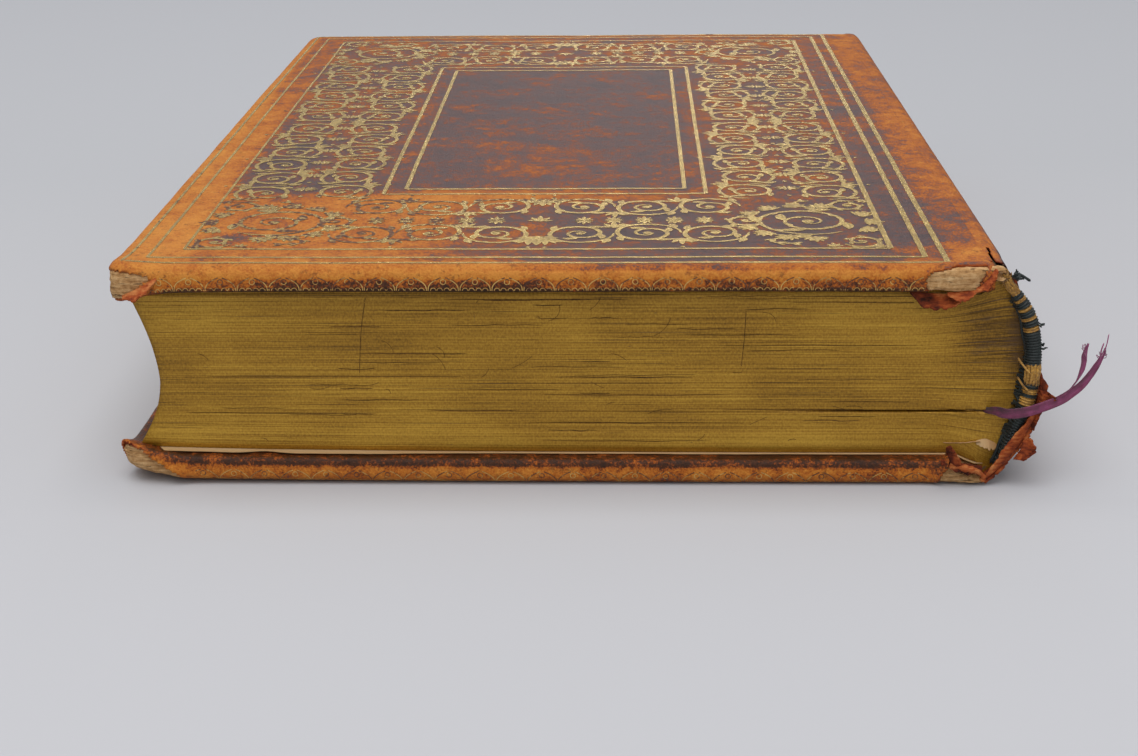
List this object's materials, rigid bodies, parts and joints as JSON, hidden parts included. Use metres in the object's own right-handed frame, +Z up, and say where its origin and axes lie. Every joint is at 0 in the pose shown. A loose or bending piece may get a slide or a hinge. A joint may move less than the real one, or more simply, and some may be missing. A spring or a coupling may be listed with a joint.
{
  "type": "antique bible",
  "caption": "Closed antique book bound in worn gold-tooled leather, with gilt page edges, silk headbands, a torn spine head, a ribbon stub and two hinged covers.",
  "frame": {"origin": "centre of the back cover's outer face, which the book lies on", "axes": "+X to the spine, -Y to the head of the book, +Z up through the pages to the front cover"},
  "size_m": [0.1695, 0.2312, 0.0396],
  "materials": {
    "gilt_pages": "gilt and burnished page edges, worn and streaked",
    "endpaper": "matt cream paper",
    "pulp_board": "coarse fibrous board",
    "cover_leather": "worn grained leather, dark brown to orange, with gold tooling",
    "spine_paper": "glued brown paper",
    "hemp_cord": "twisted hemp",
    "band_cord": "bare cord",
    "green_silk": "wound dark green silk",
    "yellow_silk": "wound cream-yellow silk",
    "ribbon_silk": "plum silk ribbon, frayed"
  },
  "bodies": {
    "text_block": {"text_block": "gilt_pages", "front_flyleaf": "endpaper", "back_flyleaf": "endpaper", "sewing_cords": "hemp_cord", "spine_lining": "spine_paper", "spine_leather": "cover_leather", "headband_core": "band_cord", "headband_green_silk": "green_silk", "headband_yellow_silk": "yellow_silk", "tailband_core": "band_cord", "tailband_green_silk": "green_silk", "tailband_yellow_silk": "yellow_silk", "ribbon_marker": "ribbon_silk"},
    "front_cover": {"front_board": "pulp_board", "front_leather": "cover_leather", "front_pastedown": "endpaper"},
    "back_cover": {"back_board": "pulp_board", "back_leather": "cover_leather", "back_pastedown": "endpaper"}
  },
  "joints": [
    {"name": "front_cover_hinge", "type": "hinge", "parent": "text_block", "child": "front_cover", "pos_m": [0.07515, 0, 0.0396], "axis": [0, 1, 0], "range_deg": [0, 180]},
    {"name": "back_cover_hinge", "type": "hinge", "parent": "text_block", "child": "back_cover", "pos_m": [0.07515, 0, 0], "axis": [0, -1, 0], "range_deg": [0, 180]}
  ]
}
